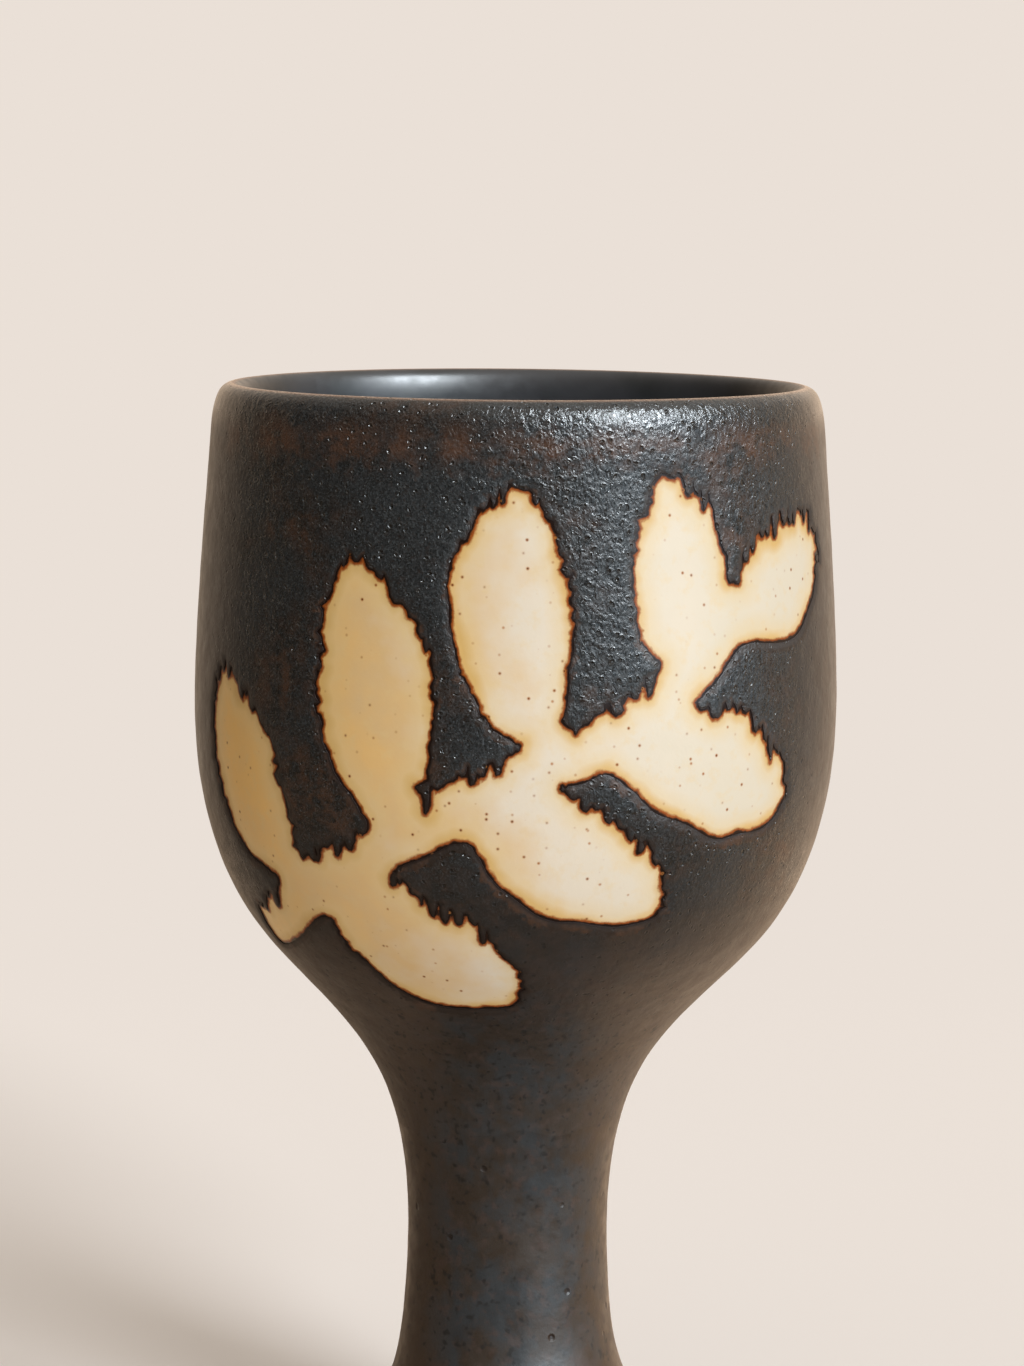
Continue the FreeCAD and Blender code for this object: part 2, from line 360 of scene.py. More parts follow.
def ring_faces(rows, columns):
    """Quads of a closed loop of rows, each a closed loop of columns, facing out of the ring."""
    row, column = np.meshgrid(np.arange(rows), np.arange(columns), indexing="ij")
    next_row, next_column = (row + 1) % rows, (column + 1) % columns
    corners = [(row, column), (row, next_column), (next_row, next_column), (next_row, column)]
    return np.stack([(r * columns + c).ravel() for r, c in corners], axis=1)


def merge_poles(points, faces, values):
    """Joins the points that lie on the axis at one height, and drops corners that fall together."""
    on_axis = np.linalg.norm(points[:, :2], axis=1) < 1e-6
    keep = np.arange(len(points))
    for height in np.unique(np.round(points[on_axis, 2], 3)):
        same = on_axis & (np.abs(points[:, 2] - height) < 1e-2)
        keep[same] = np.flatnonzero(same)[0]
    used, joined = np.unique(keep, return_inverse=True)
    merged = []
    for face in joined[faces].tolist():
        corners = [c for k, c in enumerate(face) if c != face[k - 1]]
        if len(corners) > 2:
            merged.append(corners)
    return points[used], merged, [(label, value[used]) for label, value in values]


def plain_turns(radius):
    count = int(round(2 * math.pi * radius / plain_step))
    return np.linspace(-math.pi, math.pi, count, endpoint=False)


def coat(name, turns, shown_runs, shown_depth, hidden_runs, hidden_depth, slot, material, shown_edge=None):
    """A closed turned coat: the shown face along its runs, then back along the hidden ones.

    A depth is one number or one for each point of the face. Where the shown face has distances to
    the sprig's edge, the hidden one counts as far from it.
    """
    turn, shown = np.meshgrid(turns, shown_runs)
    back_turn, hidden = np.meshgrid(turns, hidden_runs[::-1])
    points = np.concatenate([place(turn, shown, shown_depth), place(back_turn, hidden, hidden_depth)])
    run = np.concatenate([shown, hidden])
    values = [("from_crest", np.abs(run - crest_run).ravel())]
    if shown_edge is not None:
        edge = np.concatenate([shown_edge, np.full(hidden.shape, edge_reach)])
        values.append(("edge_distance", edge.ravel()))
    points, faces, values = merge_poles(points.reshape(-1, 3), ring_faces(*run.shape), values)
    return make_piece(name, points, faces, material, values)


# The sprig, as a field that is below zero where the wax kept the dark glaze off

def smooth_max(a, b, reach):
    """The larger of two fields, rounded where they come within reach of each other."""
    near = np.maximum(reach - np.abs(a - b), 0.0)
    return np.maximum(a, b) + near * near / (4 * reach)


def drips(x, seed):
    """How far the glaze's lower edge is moved down at x, in millimetres, along a level edge.

    Fingers of glaze of random width hang side by side with narrow gaps between them. Each hangs
    A·(1-|t|^2.6)^0.5 below the line that the wax had, with t from -1 to 1 across the finger, and
    in the gaps the cream shows as spikes up to that line.
    """
    fingers = 400
    rng = np.random.default_rng(seed)
    widths = rng.uniform(0.6, 1.5, fingers)
    gaps = rng.uniform(0.35, 0.6, fingers)
    start = np.cumsum(widths + gaps) - (widths + gaps).sum() / 2
    depth = 0.3 + 2.5 * rng.uniform(0.0, 1.0, fingers) ** 1.7
    k = np.clip(np.searchsorted(start, x) - 1, 0, fingers - 2)
    t = 2 * (x - start[k]) / widths[k] - 1
    return depth[k] * np.sqrt(np.maximum(1 - np.abs(t) ** 2.6, 0.0)) - 0.8


def motif_ends(start, end):
    """A stroke's middle angle, and its two ends on the plane that touches the bowl there."""
    middle = (start[0] + end[0]) / 2
    ends = []
    for angle, share in (start, end):
        sideways = belly_radius * math.sin(math.radians(angle - middle))
        ends.append(np.array([sideways, between(joint_height, total_height, share)]))
    return math.radians(middle), ends[0], ends[1]


def leaf_field(x, z, base, tip, left_bulge, right_bulge):
    """Distance to a leaf: the space that two discs share, each through the base and the tip.

    Its ends are rounded, and the brush spreads a little past the outline.
    """
    end_rounding, spread = 4.0, 0.35
    length = np.linalg.norm(tip - base)
    along = (tip - base) / length
    middle = (base + tip) / 2
    forward = (x - middle[0]) * along[0] + (z - middle[1]) * along[1]
    left = (z - middle[1]) * along[0] - (x - middle[0]) * along[1]
    sides = []
    for side, bulge in ((1, left_bulge), (-1, right_bulge)):
        disc = (length**2 / 4 + bulge**2) / (2 * bulge)
        sides.append(np.hypot(forward, side * left - (bulge - disc)) - disc)
    return smooth_max(sides[0], sides[1], end_rounding) - spread


def stroke_field(x, z, start, end, width):
    """Distance to a brush stroke: to the line between its ends, less half its width."""
    line = end - start
    t = ((x - start[0]) * line[0] + (z - start[1]) * line[1]) / line.dot(line)
    t = np.clip(t, 0.0, 1.0)
    return np.hypot(x - start[0] - t * line[0], z - start[1] - t * line[1]) - width / 2


def scallops(x, z, size, seed):
    """Round lobes about size apart, from about 0.5 in a lobe's middle down to -0.5 between lobes.

    One random point stands in each cell of a square lattice, and the value falls with the
    distance to the nearest of them.
    """
    n = lattice_size
    shift = np.random.default_rng(seed).uniform(0.12, 0.88, (2, n, n))
    column, row = np.floor(x / size).astype(int), np.floor(z / size).astype(int)
    nearest = np.full(x.shape, 9.0)
    for i in (-1, 0, 1):
        for j in (-1, 0, 1):
            c, r = (column + i) % n, (row + j) % n
            away = np.hypot(column + i + shift[0, c, r] - x / size, row + j + shift[1, c, r] - z / size)
            nearest = np.minimum(nearest, away)
    return 0.5 - nearest


def painted_shapes(turn, radius, height):
    """The fields of all strokes and leaves of the sprig, and their smooth union.

    The strokes get thinner towards the tip, and no shape reaches the far side of the bowl.
    """
    far_away, rounding = 1e3, 2.0
    fields = []
    union = np.full(turn.shape, far_away)

    def keep(middle, field):
        fields.append(np.where(np.cos(turn - middle) > 0.1, field, far_away))

    for number, (start, end) in enumerate(zip(sprig_path_shares, sprig_path_shares[1:])):
        middle, a, b = motif_ends(start, end)
        width = sprig_stroke_width * (1.05 - 0.06 * number)
        keep(middle, stroke_field(radius * np.sin(turn - middle), height, a, b, width))
    for base_angle, base_share, tip_angle, tip_share, left, right in leaf_shares:
        middle, a, b = motif_ends((base_angle, base_share), (tip_angle, tip_share))
        x = radius * np.sin(turn - middle)
        keep(middle, leaf_field(x, height, a, b, left * leaf_width, right * leaf_width))
    for field in fields:
        union = -smooth_max(-union, -field, rounding)
    return np.array(fields), union


def sprig_field(turn, run):
    """The sprig's field, in millimetres, below zero where the cream shows.

    The painted shapes sway by soft hills. Where their edge faces up, found from the union's slope,
    the height is shifted by the fingers of glaze that hang there. Scallops and small bumps then
    eat into the edge, least where it faces down.
    """
    radius, height = read(section, run)
    across = radius * turn
    hills = partial(random_hills, across, height)
    swayed = turn + (0.9 * hills(13.0, 5) + 0.55 * hills(4.1, 7)) / belly_radius
    heaved = height + 0.9 * hills(11.0, 6) + 0.55 * hills(4.6, 8)
    probe = 0.25
    nearest_shape = painted_shapes(swayed, radius, heaved)[0].argmin(axis=0)
    above = painted_shapes(swayed, radius, heaved + probe)[1]
    beneath = painted_shapes(swayed, radius, heaved - probe)[1]
    faces_up = (above - beneath) / (2 * probe)
    shift = np.zeros(turn.shape)
    for number in range(nearest_shape.max() + 1):
        shift = np.where(nearest_shape == number, drips(across, 20 + number), shift)
    strength = smoothstep(0.05, 0.65, faces_up)
    field = painted_shapes(swayed, radius, heaved + strength * shift)[1]
    eaten = smoothstep(-0.9, -0.1, faces_up)
    ragged = 0.75 + 0.5 * hills(7.0, 62)
    lobes = 1.6 * scallops(across, height, 1.6, 60) + 0.7 * scallops(across, height, 0.9, 63)
    field = field + eaten * ragged * (lobes + 0.15)
    return field + (0.3 + 0.7 * eaten) * 0.3 * hills(2.6, 61)


def without_free_drops(field):
    """The field with no dark spots that hang free of the coat.

    The coat is grown from its broad parts through all dark places that touch it, one grid step at
    a time, and dark places left over become cream.
    """
    broad, steps = 1.5, 90
    dark = field > 0
    reached = field > broad
    for _ in range(steps):
        grown = reached.copy()
        grown[1:] |= reached[:-1]
        grown[:-1] |= reached[1:]
        grown |= np.roll(reached, 1, axis=1) | np.roll(reached, -1, axis=1)
        reached = grown & dark
    return np.where(dark & ~reached, -field, field)


# What is kept of a cell whose set bits are kept corners. Corners are 0 to 3, counter-clockwise from
# the lower left, and 4 to 7 are the crossings on the sides that follow them.
CELL_POLYGONS = {
    1: [(0, 4, 7)],
    2: [(1, 5, 4)],
    3: [(0, 1, 5, 7)],
    4: [(2, 6, 5)],
    5: [(0, 4, 7), (2, 6, 5)],
    6: [(1, 2, 6, 4)],
    7: [(0, 1, 2, 6, 7)],
    8: [(3, 7, 6)],
    9: [(3, 0, 4, 6)],
    10: [(1, 5, 4), (3, 7, 6)],
    11: [(3, 0, 1, 5, 6)],
    12: [(2, 3, 7, 5)],
    13: [(2, 3, 0, 4, 5)],
    14: [(1, 2, 3, 7, 4)],
    15: [(0, 1, 2, 3)],
}


def cut_grid(field, turns, runs):
    """What a grid keeps where the field is above zero.

    Returns the turn and run of each point, the number of each point in the full grid or -1 at a
    cut, the faces, and the cut edges as pairs of points with the kept part on their left.
    """
    rows, columns = field.shape
    full = rows * columns
    turn, run = np.meshgrid(turns, runs)
    wrapped_turn = np.concatenate([turn, turn[:, :1] + 2 * math.pi], axis=1)
    beside = np.roll(field, -1, axis=1)
    across_share = field / (field - beside)
    up_share = field[:-1] / (field[:-1] - field[1:])
    crossing_turn = between(wrapped_turn[:, :-1], wrapped_turn[:, 1:], across_share)
    crossing_run = between(run[:-1], run[1:], up_share)
    all_turn = np.concatenate([turn.ravel(), crossing_turn.ravel(), turn[:-1].ravel()])
    all_run = np.concatenate([run.ravel(), run.ravel(), crossing_run.ravel()])
    row, column = np.meshgrid(np.arange(rows - 1), np.arange(columns), indexing="ij")
    right = (column + 1) % columns
    here, above = row * columns, (row + 1) * columns
    corner = [here + column, here + right, above + right, above + column]
    side = [full + corner[0], 2 * full + corner[1], full + corner[3], 2 * full + corner[0]]
    local = np.stack([c.ravel() for c in corner + side], axis=1)
    kept = (field > 0).ravel()
    pattern = sum(kept[local[:, k]].astype(int) << k for k in range(4))
    faces = []
    cuts = []
    for bits, polygons in CELL_POLYGONS.items():
        cells = local[pattern == bits]
        for polygon in polygons:
            faces += cells[:, polygon].tolist()
            for a, b in zip(polygon, polygon[1:] + polygon[:1]):
                if a > 3 and b > 3:
                    cuts.append(cells[:, [a, b]])
    used = np.unique(np.concatenate([np.array(face) for face in faces]))
    number = np.full(len(all_turn), -1)
    number[used] = np.arange(len(used))
    renumber = number.tolist()
    faces = [[renumber[c] for c in face] for face in faces]
    source = np.where(used < full, used, -1)
    return all_turn[used], all_run[used], source, faces, number[np.concatenate(cuts)], number[:full]


def distance_to_cuts(points, ends_a, ends_b, reach):
    """Distance from each point to the nearest cut edge, up to reach.

    The nearest middle of an edge picks the edge, and the distance is then taken to the edge itself.
    """
    middles = (ends_a + ends_b) / 2
    result = np.full(len(points), reach)
    at_once = 2000
    for first in range(0, len(points), at_once):
        block = points[first : first + at_once]
        squares = (block**2).sum(1)[:, None] + (middles**2).sum(1)[None] - 2 * block @ middles.T
        nearest = squares.argmin(axis=1)
        a, b = ends_a[nearest], ends_b[nearest]
        line = b - a
        t = ((block - a) * line).sum(1) / np.maximum((line**2).sum(1), 1e-12)
        away = np.linalg.norm(block - a - np.clip(t, 0, 1)[:, None] * line, axis=1)
        result[first : first + at_once] = np.minimum(away, reach)
    return result


# Shader nodes

def new_node(tree, kind, inputs=None, **settings):
    """One node; inputs map a socket's name or number to a value or to another node's output."""
    node = tree.nodes.new("ShaderNode" + kind)
    for key, value in settings.items():
        setattr(node, key, value)
    for key, value in (inputs or {}).items():
        socket = node.inputs[key]
        if isinstance(value, bpy.types.NodeSocket):
            tree.links.new(value, socket)
        else:
            socket.default_value = (*value, 1.0) if socket.type == "RGBA" else value
    return node


def add(kind, inputs, **settings):
    """One node, in the tree of the outputs that it takes in."""
    trees = [value.id_data for value in inputs.values() if isinstance(value, bpy.types.NodeSocket)]
    return new_node(trees[0], kind, inputs, **settings)


def shader(name):
    """A new material without nodes, and the place in millimetres."""
    material = bpy.data.materials.new(name)
    material.use_nodes = True
    material.node_tree.nodes.clear()
    coordinates = new_node(material.node_tree, "TexCoord").outputs["Object"]
    return material, add("VectorMath", {0: coordinates, "Scale": 1 / MM}, operation="SCALE").outputs[0]


def finish_surface(material, colour, roughness, normal, ior=1.5):
    look = {"Base Color": colour, "Roughness": roughness, "IOR": ior, "Normal": normal}
    add("OutputMaterial", {"Surface": add("BsdfPrincipled", look).outputs[0]})
    return material


def attribute(material, name):
    return new_node(material.node_tree, "Attribute", attribute_name=name).outputs["Fac"]


def clouds(where, size, detail=3.0, roughness=0.55, stretch=(1.0, 1.0, 1.0), turn=(0.0, 0.0, 0.0)):
    """Noise whose features are about size millimetres across."""
    mapped = add("Mapping", {"Vector": where, "Rotation": turn, "Scale": stretch}).outputs[0]
    look = {"Scale": 1 / size, "Detail": detail, "Roughness": roughness}
    return add("TexNoise", {"Vector": mapped, **look}).outputs["Fac"]


def cells(where, size):
    """Cells about size millimetres apart: the way to the nearest middle, and a random number each."""
    node = add("TexVoronoi", {"Vector": where, "Scale": 1 / size})
    return node.outputs["Distance"], add("SeparateColor", {0: node.outputs["Color"]}).outputs[0]


def ramp(value, stops):
    """Colours placed along a value from 0 to 1."""
    node = add("ValToRGB", {"Fac": value})
    elements = node.color_ramp.elements
    for _ in stops[2:]:
        elements.new(0.5)
    for element, (position, colour) in zip(elements, stops):
        element.position = position
        element.color = (*colour, 1.0)
    return node.outputs["Color"]


def rescale(value, low, high, to_low=0.0, to_high=1.0):
    """The value carried from one range to another, and held at its ends."""
    limits = {"From Min": low, "From Max": high, "To Min": to_low, "To Max": to_high}
    return add("MapRange", {"Value": value, **limits}).outputs[0]


def arithmetic(operation, a, b=0.0):
    return add("Math", {0: a, 1: b}, operation=operation).outputs[0]


plus = partial(arithmetic, "ADD")
minus = partial(arithmetic, "SUBTRACT")
times = partial(arithmetic, "MULTIPLY")
larger = partial(arithmetic, "MAXIMUM")


def wander(value, noise, reach):
    """The value moved up and down by up to reach, as the noise goes from 0.3 to 0.7."""
    return plus(value, rescale(noise, 0.3, 0.7, -reach, reach))


def blend(share, a, b):
    """Colour a, going over to colour b as the share goes from 0 to 1."""
    return add("Mix", {0: share, 6: a, 7: b}, data_type="RGBA").outputs[2]


def tint(colour, new, value, low, high, most=1.0):
    """The colour going over to a new one, up to a share of it, as the value goes from low to high."""
    return blend(rescale(value, low, high, 0.0, most), colour, new)


def relief(height, depth, below=None):
    """A bump whose full height is depth millimetres, on top of another bump if one is given."""
    on_top = {} if below is None else {"Normal": below}
    return add("Bump", {"Height": height, "Distance": depth * MM, **on_top}).outputs[0]


# Colours, linear
charcoal = (0.006, 0.006, 0.0055)
slate = (0.014, 0.0175, 0.02)
# painted glints: the pale flecks strewn over the dark glaze
glint_slate = (0.056, 0.066, 0.071)
rust = (0.09, 0.036, 0.014)
lip_rust = (0.08, 0.037, 0.02)
umber = (0.02, 0.009, 0.004)
scorched = (0.012, 0.004, 0.002)
burnt_orange = (0.3, 0.07, 0.007)
amber = (0.64, 0.4, 0.12)
honey = (0.74, 0.56, 0.27)
bright_amber = (0.86, 0.53, 0.17)
straw = (0.72, 0.5, 0.24)
ivory = (0.75, 0.67, 0.54)
warm_ivory = (0.7, 0.64, 0.51)
lip_brown = (0.2, 0.105, 0.065)
liner_black = (0.028, 0.031, 0.036)
stem_brown = (0.03, 0.019, 0.011)
stem_grey = (0.023, 0.027, 0.03)
stem_pink = (0.055, 0.032, 0.024)
# painted warm reflection on the two sides of the stem and low on the bowl
warm_side_reflection = (0.075, 0.043, 0.022)
toasted_clay = (0.3, 0.185, 0.115)
grey_clay = (0.36, 0.29, 0.22)
iron_brown = (0.06, 0.03, 0.018)
speck_brown = (0.09, 0.02, 0.003)
speck_halo = (0.42, 0.16, 0.03)

# Where the bowl's dark glaze changes, as heights and as distances to the left and right, among them
# where its painted warm reflection comes in
even_heights = (98.0, 78.0)
warm_reflection_heights = (86.0, 72.0)
stem_like_heights = (84.0, 67.0)
even_widths = (31.0, 39.5)
warm_reflection_widths = (35.0, 42.5)
rust_starts = (total_height - 9.5, total_height - 6.0)
rust_ends = (total_height - 2.4, total_height - 4.6)


def stem_colour(where):
    """Soft brown and grey blotches, with pinkish freckles and dark spots. The two sides are browner:
    a painted warm reflection.
    """
    blotches = clouds(where, 5.5, 3.0, 0.6, stretch=(1.0, 1.0, 0.8))
    freckles = clouds(where, 1.5, 2.0, 0.5)
    spots = clouds(where, 1.1, 1.0, 0.5, turn=(0.7, 0.0, 0.3))
    sideways = arithmetic("ABSOLUTE", add("SeparateXYZ", {0: where}).outputs["X"])
    colour = tint(stem_brown, stem_grey, blotches, 0.42, 0.6)
    # The two sides are browner: a painted warm reflection.
    colour = tint(colour, warm_side_reflection, sideways, 7.0, 14.0, 0.7)
    colour = tint(colour, stem_pink, freckles, 0.52, 0.68, 0.55)
    return tint(colour, charcoal, spots, 0.38, 0.28, 0.7)


def leather(where):
    """The dark glaze's leathery skin: the bent place that it is worked out at, its pits from 0 to 1,
    and its height, with folds, small domes, and pits that have raised rims."""
    warp = add("TexNoise", {"Vector": where, "Scale": 1 / 1.5, "Detail": 1.0}).outputs["Color"]
    bent = add("VectorMath", {0: where, 1: warp}, operation="ADD").outputs[0]
    folds = clouds(bent, 0.42, 3.0, 0.6, stretch=(1.0, 1.0, 0.6), turn=(0.0, 0.6, 0.0))
    dome_way, _ = cells(bent, 0.8)
    pit_way, pit_number = cells(bent, 1.15)
    chosen = rescale(pit_number, 0.15, 0.3)
    pits = times(rescale(pit_way, 0.26, 0.1), chosen)
    rims = times(rescale(pit_way, 0.42, 0.27), chosen)
    height = plus(minus(folds, times(dome_way, 0.35)), times(rims, 0.22))
    return bent, pits, minus(height, times(pits, 1.4))


def pitted_dark_glaze():
    """Dark glaze of the bowl: leathery slate with rust patches, brown round the sprig, more even at
    the two sides and low down, and like the stem's at the bottom. Pale flecks on it are painted
    glints, its pits are darkened as painted shade, and the rust brown towards the two sides and low
    down is a painted warm reflection."""
    material, where = shader("pitted_dark_glaze")
    edge = attribute(material, "edge_distance")
    below = attribute(material, "edge_below")
    crest_way = attribute(material, "from_crest")
    apart = add("SeparateXYZ", {0: where}).outputs
    height = apart["Z"]
    turned_away = arithmetic("ABSOLUTE", apart["X"])
    even_side = rescale(turned_away, *even_widths, 0.0, 0.92)
    even = larger(even_side, rescale(height, *even_heights, 0.0, 0.88))
    uneven = minus(1.0, even)

    patches = clouds(where, 22.0, 4.0, 0.6)
    freckles = clouds(where, 2.4, 5.0, 0.65)
    fine = clouds(where, 0.5, 3.0, 0.6)
    # The fine pale flecks are painted glints, fewer where the glaze is even.
    glint_noise = clouds(where, 0.24, 2.0, 0.6)
    colour = tint(charcoal, slate, patches, 0.4, 0.6)
    glint_share = times(rescale(glint_noise, 0.5, 0.65, 0.0, 0.75), uneven)
    colour = blend(glint_share, colour, glint_slate)
    rust_and_warm_reflection = times(rescale(patches, 0.52, 0.36), rescale(freckles, 0.42, 0.62))
    # Towards the two sides and low down, rust brown is painted in as a warm reflection.
    warm_reflection_side = rescale(turned_away, *warm_reflection_widths, 0.0, 0.6)
    thin = larger(warm_reflection_side, rescale(height, *warm_reflection_heights, 0.0, 0.6))
    rust_and_warm_reflection = larger(rust_and_warm_reflection, times(thin, rescale(freckles, 0.3, 0.6)))
    colour = blend(times(rust_and_warm_reflection, 0.6), colour, rust)
    colour = tint(colour, umber, fine, 0.55, 0.75, 0.6)

    band_edge = wander(height, freckles, 2.0)
    lip_band = times(rescale(band_edge, *rust_starts), rescale(band_edge, *rust_ends))
    lip_patches = rescale(clouds(where, 6.0, 4.0, 0.65), 0.42, 0.6, 0.15, 0.8)
    lip_patches = times(lip_patches, rescale(freckles, 0.38, 0.56, 0.25, 1.0))
    colour = blend(times(lip_band, lip_patches), colour, lip_rust)
    colour = tint(colour, lip_brown, crest_way, 0.95, 0.4)
    stem_share = rescale(wander(height, patches, 6.0), *stem_like_heights)
    colour = blend(stem_share, colour, stem_colour(where))

    ragged_edge = wander(edge, clouds(where, 0.9, 4.0), 0.7)
    band_width = rescale(below, 0.1, 0.9, 0.3, 1.2)
    in_band = rescale(minus(ragged_edge, band_width), 0.25, -0.25)
    band_colour = tint(umber, rust, clouds(where, 5.0, 3.0, 0.6), 0.5, 0.62, 0.7)
    colour = blend(times(in_band, 0.75), colour, band_colour)
    colour = tint(colour, scorched, edge, 0.34, 0.12)

    bent, pits, surface = leather(where)
    # Pits are darkened with charcoal: painted shade inside each hollow.
    colour = blend(times(pits, 0.8), colour, charcoal)
    calm = larger(times(in_band, 0.35), times(stem_share, 0.95))
    surface = times(surface, minus(1.0, larger(calm, even)))
    normal = relief(clouds(where, 3.2, 2.0), 0.15)
    normal = relief(surface, 0.15, normal)

    glassy = rescale(clouds(bent, 0.33, 1.0, 0.5), 0.5, 0.6, 0.0, 0.26)
    roughness = rescale(freckles, 0.35, 0.65, 0.38, 0.46)
    roughness = minus(roughness, times(glassy, uneven))
    roughness = times(roughness, rescale(crest_way, 4.0, 7.0, 0.6, 1.0))
    roughness = larger(roughness, rescale(edge, 1.5, 0.6, 0.1, 0.5))
    roughness = plus(roughness, times(stem_share, 0.14))
    return finish_surface(material, colour, roughness, normal, ior=1.75)


def matt_stem_glaze():
    """Dark glaze of the stem: smoother and browner, with soft blotches and a few small pits."""
    material, where = shader("matt_stem_glaze")
    colour = stem_colour(where)
    pit_way, _ = cells(where, 5.5)
    pits = rescale(pit_way, 0.1, 0.04)
    colour = blend(times(pits, 0.8), colour, scorched)
    normal = relief(clouds(where, 4.5, 2.0), 0.05)
    normal = relief(clouds(where, 0.9), 0.035, normal)
    normal = relief(times(pits, -1.0), 0.2, normal)
    roughness = rescale(clouds(where, 2.4, 2.0), 0.35, 0.65, 0.4, 0.55)
    return finish_surface(material, colour, roughness, normal, ior=1.7)


def satin_cream_glaze():
    """Cream glaze: ivory to amber, with iron specks, and scorched orange along the dark glaze."""
    material, where = shader("satin_cream_glaze")
    inside = times(attribute(material, "edge_distance"), -1.0)
    sideways = add("SeparateXYZ", {0: where}).outputs["X"]
    clouding = clouds(where, 9.0)
    mottle = clouds(where, 1.6, 4.0, 0.6)

    side = rescale(wander(sideways, clouding, 9.0), -42.0, 34.0)
    colour = ramp(side, [(0.05, bright_amber), (0.35, straw), (0.62, ivory), (1.0, warm_ivory)])
    colour = tint(colour, honey, mottle, 0.52, 0.78, 0.45)

    spread = wander(inside, clouding, 0.7)
    colour = tint(colour, honey, spread, 4.0, 0.3, 0.7)
    colour = tint(colour, amber, spread, 1.8, 0.4, 0.8)
    line = wander(inside, mottle, 0.2)
    colour = tint(colour, burnt_orange, line, 0.74, 0.46)
    colour = tint(colour, scorched, line, 0.4, 0.2)

    speck_way, speck_number = cells(where, 1.6)
    strength = rescale(speck_number, 0.3, 0.85)
    halo = times(rescale(speck_way, 0.18, 0.08, 0.0, 0.95), strength)
    colour = blend(halo, colour, speck_halo)
    core = times(rescale(speck_way, 0.09, 0.05), strength)
    colour = blend(core, colour, speck_brown)
    normal = relief(clouds(where, 3.0, 2.0), 0.05)
    normal = relief(clouds(where, 0.4, 2.0), 0.011, normal)
    roughness = rescale(mottle, 0.3, 0.7, 0.3, 0.42)
    return finish_surface(material, colour, roughness, normal)


def glossy_liner_glaze():
    """Liner of the bowl: dark slate and glossy, brown where it thins over the crest."""
    material, where = shader("glossy_liner_glaze")
    colour = tint(liner_black, slate, clouds(where, 8.0), 0.4, 0.6)
    colour = tint(colour, lip_brown, attribute(material, "from_crest"), 0.7, 0.15)
    normal = relief(clouds(where, 5.0, 2.0), 0.06)
    normal = relief(clouds(where, 0.6, 2.0), 0.005, normal)
    roughness = rescale(clouds(where, 2.0), 0.3, 0.7, 0.33, 0.45)
    return finish_surface(material, colour, roughness, normal, ior=1.8)


def bare_stoneware(name, clay):
    """Fired clay without glaze, grey in patches, with toasted grit and iron specks."""
    material, where = shader(name)
    colour = tint(clay, grey_clay, clouds(where, 12.0), 0.35, 0.65)
    colour = tint(colour, toasted_clay, clouds(where, 0.7), 0.55, 0.75, 0.4)
    speck_way, _ = cells(where, 1.5)
    colour = tint(colour, iron_brown, speck_way, 0.16, 0.08)
    normal = relief(clouds(where, 0.45, 4.0, 0.65), 0.07)
    roughness = rescale(clouds(where, 1.0), 0.3, 0.7, 0.78, 0.92)
    return finish_surface(material, colour, roughness, normal)


dark_finish = pitted_dark_glaze()
stem_finish = matt_stem_glaze()
cream_finish = satin_cream_glaze()
liner_finish = glossy_liner_glaze()
clay_finish = bare_stoneware("bare_stoneware", toasted_clay)
slip_finish = bare_stoneware("fired_slip", grey_clay)


# Pieces

def runs_between(*stretches):
    """Runs along the section, with each stretch cut to its own step."""
    runs = [stretches[0][0]]
    for start, end, step in stretches:
        count = max(int(round((end - start) / step)), 1)
        runs += list(np.linspace(start, end, count + 1)[1:])
    return np.array(runs)


def window_turns():
    """Turns all round the bowl, fine where the sprig is and coarse at the back."""
    reach = math.radians(fine_angle)
    front = np.linspace(-reach, reach, int(round(2 * reach * belly_radius / fine_step)) + 1)
    count = int(round((2 * math.pi - 2 * reach) * belly_radius / back_step))
    back = np.linspace(reach, 2 * math.pi - reach, count + 1)[1:-1]
    return np.concatenate([front, back])


bowl_turns = window_turns()
low_run, high_run = run_at(fine_low), run_at(fine_high)
upper_runs = runs_between(
    (cream_run, low_run, plain_step),
    (low_run, high_run, fine_rise),
    (high_run, crest_run, lip_step),
)
lower_runs = runs_between((dip_run, cream_run, plain_step))[:-1]
bowl_runs = np.concatenate([lower_runs, upper_runs])


# Round the sprig's edge: how far off it is measured, and how the two coats melt into each other
edge_reach = 8.0
searched_field = 12.0
dark_rounding = 1.3
cream_rounding = 1.0
cream_gap = 0.05


